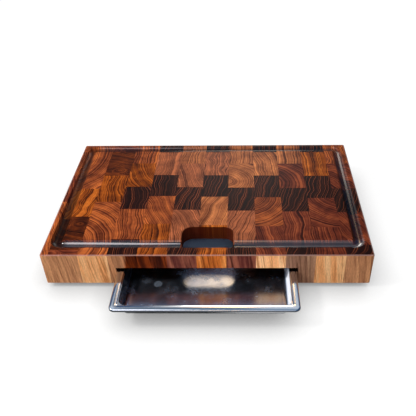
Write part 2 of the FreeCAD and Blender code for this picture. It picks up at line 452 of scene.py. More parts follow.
# Where the painted light on the upright faces of a wenge strip ends, in millimetres along X; they are paler
# to the left of it
WENGE_PAINTED_LIGHT_END: dict[int, float] = {4: -132.0}


@dataclass(frozen=True)
class BoardFaces:
    """Where the board's faces lie, in millimetres, and how softly its wood changes at them."""

    half_width: float
    front: float
    back: float
    underside: float
    top: float
    bay_ceiling: float = 40.5
    groove_depth: float = 6.4
    chute_half_width: float = 42.0
    chute_front: float = -104.5
    chute_back: float = -51.0
    chute_edge: float = 0.5
    """Half the width over which the wood changes at the chute."""
    rind: Ramp = (2.5, 1.5)
    """How far in from the four sides their grain begins, and where it is full."""
    bay_foot: Ramp = (0.3, 0.8)
    """How far above the underside the bay begins, and where it is full."""
    bay_head: Ramp = (0.9, 0.4)
    """How far above its ceiling the bay ends, and where it is still full."""
    groove_mouth: Ramp = (0.3, 1.0)
    """How far below the top the groove begins, and where it is full."""
    groove_foot: float = 0.4
    """How far below its floor the groove ends."""
    deepest: float = 0.8
    # Share of the groove's depth from which its painted shade is darkest.
    """Share of the groove's depth from which it is darkest."""
    arris: Ramp = (1.6, 0.5)
    # How far below the top the painted edge highlight begins, and where it is full.
    """How far below the top the worn edge begins, and where it is full."""

    @classmethod
    def around(cls, blocks: Iterable[str]) -> BoardFaces:
        """Takes the board's outside from its blocks in the frame.

        Args:
            blocks: The blocks' names.

        Returns:
            The faces.
        """
        corners = [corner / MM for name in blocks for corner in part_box(name)]
        _, front, underside = (min(corner[axis] for corner in corners) for axis in range(3))
        right, back, top = (max(corner[axis] for corner in corners) for axis in range(3))
        return cls(right, front, back, underside, top)

    def outside(self, surface: SurfaceSketch) -> Signal:
        """Where the wood lies within a millimetre or two of the board's four sides.

        Args:
            surface: The material in the making.

        Returns:
            The share, from 0 to 1.
        """
        start, full = self.rind
        ends = abs(surface.x).ease(self.half_width - start, self.half_width - full)
        front = surface.y.ease(self.front + start, self.front + full)
        back = surface.y.ease(self.back - start, self.back - full)
        return ends.most(front.most(back))

    def bay(self, surface: SurfaceSketch, inside: Signal) -> Signal:
        """Where the walls of the tray's bay are, which get painted shade.

        Args:
            surface: The material in the making.
            inside: Where the wood lies away from the four sides.

        Returns:
            The share, from 0 to 1.
        """
        above = surface.z.ease(self.underside + self.bay_foot[0], self.underside + self.bay_foot[1])
        below = surface.z.ease(self.bay_ceiling + self.bay_head[0], self.bay_ceiling + self.bay_head[1])
        return above * below * inside

    def groove(self, surface: SurfaceSketch, inside: Signal) -> Signal:
        """Where the groove is, apart from the chute that it drains into.

        Args:
            surface: The material in the making.
            inside: Where the wood lies away from the four sides.

        Returns:
            The share, from 0 to 1.
        """
        start, full = self.groove_mouth
        floor, soft = self.top - self.groove_depth, self.chute_edge
        below = surface.z.ease(self.top - start, self.top - full)
        above = surface.z.ease(floor - self.groove_foot, floor)
        chute = abs(surface.x).ease(self.chute_half_width + soft, self.chute_half_width - soft)
        chute = chute * surface.y.ease(self.chute_front - soft, self.chute_front + soft)
        chute = chute * surface.y.ease(self.chute_back + soft, self.chute_back - soft)
        return below * above * (1.0 - chute) * inside


@dataclass(frozen=True)
class EndGrain:
    """How growth rings are drawn where the wood is cut across."""

    fineness: float = 0.7
    """How close the growth lines are drawn, as a share of the spacing that a block gives."""
    trunk: Point = (1.0, 1.0, 0.08)
    """How much of a place counts for the rings' wander, little of it along the trunk."""
    wander_scale: float = 1.0 / 42.0
    wander: float = 3.4
    """How far the rings wander, as a share of the block's sway."""
    ripple_scale: float = 1.0 / 8.0
    ripple: float = 0.4
    """How far they ripple, as a share of the block's sway."""
    knot_squeeze: float = 1.6
    knot_reach: float = 22.0
    """Millimetres around a knot in which it bends the rings."""
    knot_push: float = 34.0
    """Millimetres that it pushes them away."""
    shift: float = 13.7
    """Rings that each block's pattern is moved on from the last block's."""
    spacing_scale: float = 0.3
    spacing: float = 2.4
    """Rings that the lines stray from an even spacing."""
    weight: Mottle = Mottle(0.5, 1.0, 0.28, 0.68)
    """Which rings are strong."""
    cloud_squeeze: Point = (1.0, 1.0, 0.15)
    cloud_scale: float = 1.0 / 19.0
    cloud_detail: float = 3.0
    cloud_strength: float = 1.6
    """How much the wood's tone drifts over the face."""
    darkening: Ramp = (0.45, 0.9)
    """The part of a ring over which it darkens to its line."""
    line_end: Ramp = (0.96, 1.0)
    """The part over which the line ends."""
    line_weight: Ramp = (0.3, 1.0)
    """How dark the weakest and the strongest lines are."""
    line_strength: float = 0.85
    edge: Ramp = (0.02, 0.55)
    """The part of a ring over which its pale edge fades."""
    edge_weight: Ramp = (0.1, 0.9)
    edge_strength: float = 0.5
    drift_scale: float = 0.24
    drift_strength: float = 1.9
    """How much the wood's tone drifts over several rings."""
    hair_scale: float = 2.3
    hair_strength: float = 0.7
    """How much fine lines show within a ring."""
    pale: Ramp = (-0.1, 0.85)
    """The lightness at which the wood turns pale, and where it is palest."""
    dark: Ramp = (0.1, -0.9)
    """The lightness at which it turns dark, and where it is darkest."""
    wenge_lines: Mottle = Mottle(1.9, 1.0, 0.54, 0.68)
    wenge_weight: Ramp = (0.25, 1.0)
    wenge_cloud: Ramp = (0.4, 0.65)
    wenge_cloud_share: float = 0.7

    def count(self, place: Signal, growth: Growth, middle: Vector) -> Signal:
        """Counts growth rings outwards from the middle of the tree.

        Args:
            place: The place in millimetres.
            growth: How the rings run.
            middle: The block's middle in metres.

        Returns:
            The count, in rings.
        """
        across, along = middle.x / MM, middle.y / MM
        turn = math.radians(growth.toward)
        pith = (across + growth.radius * math.cos(turn), along + growth.radius * math.sin(turn))
        distance = place.reach(pith)
        trunk = place.stretch(self.trunk)
        for scale, strength in ((self.wander_scale, self.wander), (self.ripple_scale, self.ripple)):
            distance = (trunk.noise(scale, detail=1.0) - 0.5) * (strength * growth.sway) + distance
        if growth.knot is not None:
            knot = (across + growth.knot[0], along + growth.knot[1])
            near = 1.0 - place.reach(knot, self.knot_squeeze).ease(0.0, self.knot_reach)
            distance = near * self.knot_push + distance
        return distance / (growth.ring * self.fineness)

    def draw(self, place: Signal, rings: Signal, tone: Tone, seed: int) -> tuple[Signal, Signal]:
        """Draws a block's rings.

        Args:
            place: The place in millimetres.
            rings: The count of rings.
            tone: The block's tone.
            seed: The block's number.

        Returns:
            The dark or pale lines, from 0 to 1, and the colour.
        """
        rings = rings + self.shift * seed
        weight = self.weight.along(rings)
        cloud = place.stretch(self.cloud_squeeze).noise(self.cloud_scale, self.cloud_detail)
        draw_wood = self._wenge if tone is Tone.WENGE else self._walnut
        return draw_wood(rings, weight, cloud, tone.value)

    def _walnut(self, rings: Signal, weight: Signal, cloud: Signal, wood: Timber) -> tuple[Signal, Signal]:
        """Draws a pale edge in each ring, then slowly darker wood, then a thin dark line.

        Args:
            rings: The count of rings.
            weight: How strong each ring is.
            cloud: Smooth noise over the face.
            wood: The colours.

        Returns:
            The dark lines and the colour.
        """
        uneven = rings.noise_along(self.spacing_scale, detail=1.0) * self.spacing + rings
        part = rings.sketch.math("FRACT", uneven)
        line = (part.ease(*self.darkening) - part.ease(*self.line_end)) * weight.remap(*self.line_weight)
        edge = (1.0 - part.ease(*self.edge)) * weight.remap(*self.edge_weight)
        drift = rings.noise_along(self.drift_scale, detail=2.0) - 0.5
        hair = rings.noise_along(self.hair_scale, detail=1.0) - 0.5
        light = drift * self.drift_strength + edge * self.edge_strength
        light = (cloud - 0.5) * self.cloud_strength + light
        light = hair * self.hair_strength + light
        light = line * -self.line_strength + light
        colour = light.ease(*self.pale).mix(wood.body, wood.pale)
        return line, light.ease(*self.dark).mix(colour, wood.late)

    def _wenge(self, rings: Signal, weight: Signal, cloud: Signal, wood: Timber) -> tuple[Signal, Signal]:
        """Draws fine pale lines on dark wood.

        Args:
            rings: The count of rings.
            weight: How strong each ring is.
            cloud: Smooth noise over the face.
            wood: The colours.

        Returns:
            The pale lines and the colour.
        """
        line = self.wenge_lines.along(rings) * weight.remap(*self.wenge_weight)
        dark = cloud.ease(*self.wenge_cloud) * self.wenge_cloud_share
        return line, line.mix(dark.mix(wood.body, wood.late), wood.pale)


@dataclass(frozen=True)
class LongGrain:
    """How streaks are drawn on the upright faces, where the wood is cut along its grain."""

    streak: float = 3.2
    """Millimetres between the dark streaks."""
    broad: float = 3.0
    """How much wider the pale streaks are."""
    lean: float = 0.12
    """How far the streaks lean out of upright."""
    shift: float = 37.0
    """Millimetres that each block's streaks are moved on from the last block's."""
    squeeze: Point = (1.0, 1.0, 0.05)
    pale: Ramp = (0.38, 0.68)
    dark: Ramp = (0.48, 0.74)
    dark_share: float = 0.85
    dash_squeeze: Point = (1.0, 1.0, 0.22)
    dash_scale: float = 0.9
    dash_light: Ramp = (0.72, 1.28)
    """How dark and how light the short dashes of the pores are."""
    # Painted light: how softly the paler part of the upright faces ends, and how much of it shows.
    lit_edge: float = 4.0
    lit_share: float = 0.75

    def draw(self, surface: SurfaceSketch, growth: Growth, seed: int) -> Signal:
        """Draws a block's upright faces, with painted light where it has any.

        Args:
            surface: The material in the making.
            growth: The block's growth.
            seed: The block's number.

        Returns:
            The colour.
        """
        side = self._streaks(surface, growth.side.value, seed)
        if growth.lit_end is None:
            return side
        pale = self._streaks(surface, Tone.OAT.value, seed)
        slanted = surface.z * -self.lean + surface.x
        share = slanted.ease(growth.lit_end + self.lit_edge, growth.lit_end - self.lit_edge)
        return (share * self.lit_share).mix(side, pale)

    def _streaks(self, surface: SurfaceSketch, wood: Timber, seed: int) -> Signal:
        """Draws the streaks of one timber.

        Args:
            surface: The material in the making.
            wood: The colours.
            seed: The block's number.

        Returns:
            The colour.
        """
        slide = {"X": surface.z * self.lean, "Y": self.shift * seed}
        slide = surface.make("ShaderNodeCombineXYZ", 0, slide)
        streaks = surface.vector("ADD", surface.place.stretch(self.squeeze), slide)
        pale = streaks.noise(1.0 / (self.broad * self.streak), detail=2.0).ease(*self.pale)
        dark = streaks.noise(1.0 / self.streak, detail=2.0).ease(*self.dark) * self.dark_share
        colour = dark.mix(pale.mix(wood.body, wood.pale), wood.late)
        dashes = surface.place.stretch(self.dash_squeeze).noise(self.dash_scale, detail=1.0)
        return dashes.remap(*self.dash_light).tint(colour)


@dataclass(frozen=True)
class OiledWood:
    """The finish of a block: growth rings that run right down through it, under oil."""

    faces: BoardFaces
    end_grain: EndGrain = EndGrain()
    long_grain: LongGrain = LongGrain()
    upright: Ramp = (0.6, 0.1)
    """How far a face looks up where it begins to count as upright, and where it is wholly so."""
    pore_squeeze: Point = (1.0, 1.0, 0.04)
    pore_scale: float = 1.1
    pore_light: Ramp = (0.6, 1.4)
    """How dark the pores are, and how light the wood between them."""
    pore_roughness: Ramp = (0.26, 0.5)
    shine: float = 0.03
    """Specular level of the wood, without the oil."""
    wet_roughness: float = 0.16
    wet_index: float = 1.95
    """Refractive index of the oil that gathers in the groove."""
    wet_share: float = 0.28
    """How much oil is left in the rest of the groove, which drains to its front run."""
    dry_share: float = 0.1
    """How much is left in its left run, as a share of that."""
    front_run: Ramp = (-76.0, -82.0)
    """Millimetres along Y where the groove's front run begins, and where it is full."""
    left_run: Ramp = (-216.0, -230.0)
    """Millimetres along X where its left run begins, and where it is full."""
    painted_groove_shade: float = 0.2
    # Painted shade: how much colour is left at the bottom of the groove, which lies in shade.
    """How much colour is left at the bottom of the groove."""
    painted_wall_shade: float = 0.22
    # Painted shade: how much colour is left on the walls cut into the board, such as the chute's, which lie
    # in shade.
    """How much colour is left on cut walls, which soak up more oil."""
    inner_stain: Colour = display(150, 52, 22)
    stain_share: float = 0.6
    painted_bay_shade: float = 0.2
    # Painted shade: how much colour is left inside the bay, which lies where little light reaches under the
    # board.
    """How much colour is left inside the bay, which is stained dark."""
    painted_edge_highlight: Colour = display(176, 140, 132)
    # Painted highlight: the pale colour along the top edges, where the rounded edge catches the light.
    """The worn wood along the top edges."""
    painted_edge_share: float = 0.5
    line_relief: float = 0.5
    """How deep the lines lie, as a share of the pores."""
    relief_strength: float = 0.35
    relief_depth: float = 0.12
    """Millimetres from the pores' floor to the wood between them."""

    def dress(self, block: bpy.types.Object, growth: Growth, seed: int) -> None:
        """Gives a block its own material.

        Args:
            block: The block's object.
            growth: How its rings run.
            seed: A number that sets its small differences from other blocks.
        """
        surface = SurfaceSketch(f"oiled_{block.name}")
        low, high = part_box(block.name)
        rings = self.end_grain.count(surface.place, growth, (low + high) / 2.0)
        line, end = self.end_grain.draw(surface.place, rings, growth.tone, seed)
        side = self.long_grain.draw(surface, growth, seed)
        pores = surface.place.stretch(self.pore_squeeze).noise(self.pore_scale, detail=2.0)
        upright = abs(surface.facing_up).ease(*self.upright)
        outside = self.faces.outside(surface)
        inside = 1.0 - outside
        cut = upright * inside
        groove = self.faces.groove(surface, inside)
        colour = pores.remap(*self.pore_light).tint((upright * outside).mix(end, side))
        colour = (cut * self.stain_share).mix(colour, self.inner_stain)
        # Painted shade on the cut walls, inside the bay and in the groove.
        colour = self._shade(surface, cut, inside, groove).tint(colour)
        top = self.faces.top
        # Painted highlight along the top edges of the four sides.
        painted_edge_mask = surface.z.ease(top - self.faces.arris[0], top - self.faces.arris[1])
        colour = (painted_edge_mask * outside * self.painted_edge_share).mix(colour, self.painted_edge_highlight)
        height = pores - line * self.line_relief
        material = surface.finish({
            "Base Color": colour,
            "Roughness": pores.remap(*self.pore_roughness),
            "Specular IOR Level": self.shine,
            "Coat Weight": self._oil(surface, groove),
            "Coat Roughness": self.wet_roughness,
            "Coat IOR": self.wet_index,
            "Normal": height.relief(self.relief_strength, self.relief_depth),
        })
        for slot in block.material_slots:
            slot.material = material

    def _shade(self, surface: SurfaceSketch, cut: Signal, inside: Signal, groove: Signal) -> Signal:
        """Painted shade: how much of its colour the wood keeps, less on cut walls and down in the groove and
        least inside the bay.

        Args:
            surface: The material in the making.
            cut: Where the walls are that were cut into the board.
            inside: Where the wood lies away from the four sides.
            groove: Where the groove is.

        Returns:
            The share.
        """
        faces = self.faces
        walls = cut.remap(1.0, self.painted_wall_shade).least(faces.bay(surface, inside).remap(1.0, self.painted_bay_shade))
        mouth = faces.top - faces.groove_mouth[0]
        deep = groove * surface.z.ease(mouth, faces.top - faces.deepest * faces.groove_depth)
        return walls.least(deep.remap(1.0, self.painted_groove_shade))

    def _oil(self, surface: SurfaceSketch, groove: Signal) -> Signal:
        """How much oil lies in the groove: most in its front run and least in its left run."""
        wet = groove * surface.y.ease(*self.front_run).remap(self.wet_share, 1.0)
        return wet * surface.x.ease(*self.left_run).remap(1.0, self.dry_share)


@dataclass
class EndGrainBoard:
    """The glued board, whose blocks keep the shape that they have in the frame."""

    nodes: dict[str, bpy.types.Object]
    """The frame's objects by name."""
    wenge_lean: Ramp = (-24.0, 4.0)
    """The least and most degrees that the lines of a wenge block lean."""
    wenge_radius: float = 400.0
    wenge_ring: float = 4.4

    def blocks(self) -> dict[str, bpy.types.Object]:
        """The board's blocks by name, by strip from the left and then from back to front."""
        return {name: node for name, node in sorted(self.nodes.items()) if name.startswith("strip_")}

    def build(self) -> list[bpy.types.Object]:
        """Gives every block its grain.

        Returns:
            The blocks.
        """
        seen: dict[int, int] = {}
        blocks = self.blocks()
        finish = OiledWood(BoardFaces.around(blocks))
        for seed, (name, block) in enumerate(blocks.items(), 1):
            strip = int(name.split("_")[1])
            if name.endswith("wenge"):
                growth = self._wenge(strip, seed)
            else:
                growth = WALNUT_GROWTH[strip][seen.get(strip, 0)]
                seen[strip] = seen.get(strip, 0) + 1
            finish.dress(block, growth, seed)
            LOG.info("board: %s, %s", name, growth.tone.name.lower())
        return list(blocks.values())

    def _wenge(self, strip: int, seed: int) -> Growth:
        """How the lines run through a block of wenge.

        Args:
            strip: The block's strip, counted from the left.
            seed: The block's number.

        Returns:
            The block's growth.
        """
        lean = random.Random(seed).uniform(*self.wenge_lean)
        side = WENGE_PAINTED_SIDES.get(strip, Tone.BRICK)
        return Growth(
            Tone.WENGE,
            side,
            toward=180.0 + lean,
            radius=self.wenge_radius,
            ring=self.wenge_ring,
            lit_end=WENGE_PAINTED_LIGHT_END.get(strip),
        )


# ---------------------------------------------------------------- modelling by hand


class Pick(Enum):
    """What is picked in a piece that is open for editing."""

    CORNERS = "VERT"
    EDGES = "EDGE"
    FACES = "FACE"


def deselect_all() -> None:
    """Leaves object mode with nothing selected."""
    if bpy.context.object is not None and bpy.context.object.mode != "OBJECT":
        bpy.ops.object.mode_set(mode="OBJECT")
    bpy.ops.object.select_all(action="DESELECT")


def take_up(piece: bpy.types.Object) -> None:
    """Makes a piece the only one selected.

    Args:
        piece: The piece.
    """
    deselect_all()
    piece.select_set(True)
    bpy.context.view_layer.objects.active = piece


def open_all(piece: bpy.types.Object, kind: Pick) -> None:
    """Opens a piece for editing with all of it selected.

    Args:
        piece: The piece.
        kind: What is picked in it.
    """
    take_up(piece)
    bpy.ops.object.mode_set(mode="EDIT")
    bpy.ops.mesh.select_mode(type=kind.value)
    bpy.ops.mesh.select_all(action="SELECT")


def leave_edit() -> None:
    """Goes back to object mode."""
    bpy.ops.object.mode_set(mode="OBJECT")


def open_some(piece: bpy.types.Object, kind: Pick, wanted: Callable[..., bool]) -> None:
    """Opens a piece for editing with some of its edges or faces selected.

    Args:
        piece: The piece.
        kind: What is picked in it.
        wanted: Says whether an edge or a face is wanted.
    """
    open_all(piece, kind)
    bpy.ops.mesh.select_all(action="DESELECT")
    leave_edit()
    for part in piece.data.polygons if kind is Pick.FACES else piece.data.edges:
        part.select = wanted(part)
    bpy.ops.object.mode_set(mode="EDIT")


def settle(piece: bpy.types.Object) -> None:
    """Moves a piece's place into its mesh, so that its object sits at the origin."""
    take_up(piece)
    bpy.ops.object.transform_apply(location=True, rotation=True, scale=True)


def finish_with(piece: bpy.types.Object, kind: str, **settings: object) -> None:
    """Adds a modifier to a piece and applies it.

    Args:
        piece: The piece.
        kind: The modifier's type.
        settings: Properties to set on it.
    """
    take_up(piece)
    modifier = piece.modifiers.new(kind.lower(), kind)
    for name, value in settings.items():
        setattr(modifier, name, value)
    bpy.ops.object.modifier_apply(modifier=modifier.name)


def smooth(piece: bpy.types.Object, degrees: float) -> None:
    """Shades a piece smooth, apart from edges sharper than an angle."""
    take_up(piece)
    bpy.ops.object.shade_smooth_by_angle(angle=math.radians(degrees))


def coat(piece: bpy.types.Object, material: bpy.types.Material) -> None:
    """Gives a piece one finish all over."""
    piece.data.materials.clear()
    piece.data.materials.append(material)


# ---------------------------------------------------------------- the steel tray


@dataclass(frozen=True)
class PolishedSteel:
    """Pressed stainless steel: a bright rim, a floor with finger marks, a painted blue reflection and a patch
    of painted blue light, and walls with a painted sheen on the right.
    """

    colour: Colour = (0.66, 0.69, 0.73)
    painted_blue_floor: Colour = (0.5, 0.6, 0.77)
    # Painted reflection: a blue tint in the floor's steel that stands in for the blue that it reflects.
    """Colour of the floor, which has blued a little."""
    painted_sheen_colour: Colour = (0.92, 0.92, 0.94)
    # Colour of the painted sheen: pale satin streaks on the right-hand walls, where light falls on them.
    """Colour of the satin streaks on the walls."""
    roughness: float = 0.22
    rim_roughness: float = 0.12
    smear_roughness: float = 0.3
    scuffed_roughness: float = 0.5
    """Roughness of the floor where scraps land."""
    rim_foot: Ramp = (33.0, 34.0)
    """Millimetres up to where the rim begins, and where it is full."""
    floor_head: Ramp = (14.0, 13.0)
    """Millimetres up to where the floor's marks begin, and where they are full."""
    painted_blue_head: Ramp = (19.0, 13.0)
    # Millimetres up to where the painted blue tint begins, and where it is full.
    """Millimetres up to where the floor's colour begins, and where it is full."""
    level: Ramp = (0.3, 0.85)
    """How far a face looks up where it begins to count as level, and where it is wholly so."""
    smears: Mottle = Mottle(1.0 / 17.0, 3.0, 0.42, 0.75)
    smear_film: float = 0.012
    """Share of dull film in the thickest finger marks."""
    satin: Mottle = Mottle(0.22, 1.0, 0.15, 0.45)
    sheen_streak_squeeze: Point = (0.02, 0.02, 1.0)
    painted_sheen_side: Ramp = (0.0, 70.0)
    # Millimetres along X where the painted sheen begins, and where it is full; the walls on the left, which
    # lie in shade, have none.
    """Millimetres along X where the satin begins, and where it is full."""
    scratches: Mottle = Mottle(1.0, 1.0, 0.7, 0.74)
    scratch_squeeze: Point = (0.03, 1.3, 0.03)
    scratch_ways: tuple[Point, Point] = ((27.0, 55.0, 35.0), (-52.0, 99.0, 63.0))
    """Degrees that each set of scratches is turned, and how far it is moved along X and Y."""
    scratch_film: float = 0.03
    scratch_depth: float = 0.03
    """Depth of a scratch, as a share of the waves in the sheet."""
    scuffed_middle: tuple[float, float] = (-2.0, -27.0)
    # Millimetres to the middle of the patch under the chute that scraps have dulled and that is painted with
    # blue light.
    """Millimetres to the middle of the patch that scraps have dulled, under the chute."""
    scuffed_half: tuple[float, float] = (40.0, 13.0)
    """Half its size in millimetres."""
    scuffed_fade: float = 34.0
    """Millimetres over which it fades out around that."""
    # Painted light: the patch's dull film and its blue colour stand in for the blue light that falls through
    # the chute onto the floor.
    scuffed_film: float = 0.85
    scuffed_painted_light_colour: Colour = (0.32, 0.45, 0.7)
    ragged: Mottle = Mottle(1.0 / 22.0, 4.0, 0.3, 0.7)
    ragged_fade: Ramp = (0.6, 2.0)
    """The least and most by which the distance from the patch is scaled, to make its edge ragged."""
    drop: tuple[float, float] = (-77.0, -128.0)
    """Millimetres to the mark of a dried drop of water."""
    drop_edge: Ramp = (7.5, 5.5)
    """Its radius where it begins, and where it is full."""
    drop_film: float = 0.1
    wave_scale: float = 1.0 / 38.0
    relief_strength: float = 0.5
    relief_depth: float = 0.2
    """Millimetres from the lowest to the highest of the waves in the sheet."""

    def material(self, name: str) -> bpy.types.Material:
        """Makes the finish.

        Args:
            name: The material's name.

        Returns:
            The material.
        """
        surface = SurfaceSketch(name)
        below_rim = 1.0 - surface.z.ease(*self.rim_foot)
        upright = 1.0 - abs(surface.facing_up).ease(*self.level)
        floor = surface.z.ease(*self.floor_head) * surface.facing_up.ease(*self.level)
        smears = self.smears.over(surface.place) * below_rim
        scratches = self._scratches(surface)
        # Painted sheen: pale dull streaks on the upright walls on the right, where light falls, and none on
        # the left, which lie in shade.
        satin = upright * below_rim * surface.x.ease(*self.painted_sheen_side)
        satin = satin * self.satin.over(surface.place.stretch(self.sheen_streak_squeeze))
        patch = floor * self._scuffed_lit_patch(surface)
        drop = floor * surface.place.reach(self.drop).ease(*self.drop_edge)
        roughness = smears.remap(self.roughness, self.smear_roughness)
        roughness = (1.0 - below_rim) * (self.rim_roughness - self.roughness) + roughness
        roughness = patch * (self.scuffed_roughness - self.roughness) + roughness
        film = satin + smears * self.smear_film
        film = scratches * self.scratch_film + film
        film = patch * self.scuffed_film + film
        film = drop * self.drop_film + film
        colour = satin.mix(self.colour, self.painted_sheen_colour)
        # Painted reflection: the floor's steel is tinted blue.
        colour = surface.z.ease(*self.painted_blue_head).mix(colour, self.painted_blue_floor)
        height = scratches * -self.scratch_depth + surface.place.noise(self.wave_scale, detail=0.0)
        return surface.finish({
            "Base Color": patch.mix(colour, self.scuffed_painted_light_colour),
            "Metallic": 1.0 - film,
            "Roughness": roughness,
            "Normal": height.relief(self.relief_strength, self.relief_depth),
        })

    def _scuffed_lit_patch(self, surface: SurfaceSketch) -> Signal:
        """The patch that scraps have dulled and that is painted with blue light, with a soft and ragged edge.

        Args:
            surface: The material in the making.

        Returns:
            The share, from 0 to 1.
        """
        squares = []
        for value, middle, half in zip((surface.x, surface.y), self.scuffed_middle, self.scuffed_half):
            past = (abs(value - middle) - half).most(0.0)
            squares.append(surface.math("POWER", past, 2.0))
        away = surface.math("SQRT", squares[0] + squares[1])
        away = away * self.ragged.over(surface.place).remap(*self.ragged_fade)
        return away.ease(self.scuffed_fade, 0.0)

    def _scratches(self, surface: SurfaceSketch) -> Signal:
        """Fine scratches along two slanted ways.

        Args:
            surface: The material in the making.

        Returns:
            The scratches, from 0 to 1.
        """
        marks = []
        for degrees, along_x, along_y in self.scratch_ways:
            turned = {
                "Vector": surface.place,
                "Location": (along_x, along_y, 0.0),
                "Rotation": (0.0, 0.0, math.radians(degrees)),
                "Scale": self.scratch_squeeze,
            }
            marks.append(self.scratches.over(surface.make("ShaderNodeMapping", "Vector", turned)))
        return marks[0].most(marks[1])


@dataclass(frozen=True)
class Ring:
    """One level of the tray's surface: a rectangle with round corners."""

    inset: float
    """Millimetres inwards from the outside of the tray."""
    height: float
    """Millimetres below the top of the rim, as a negative number."""
    corner: float
    """Radius of the corners in millimetres."""


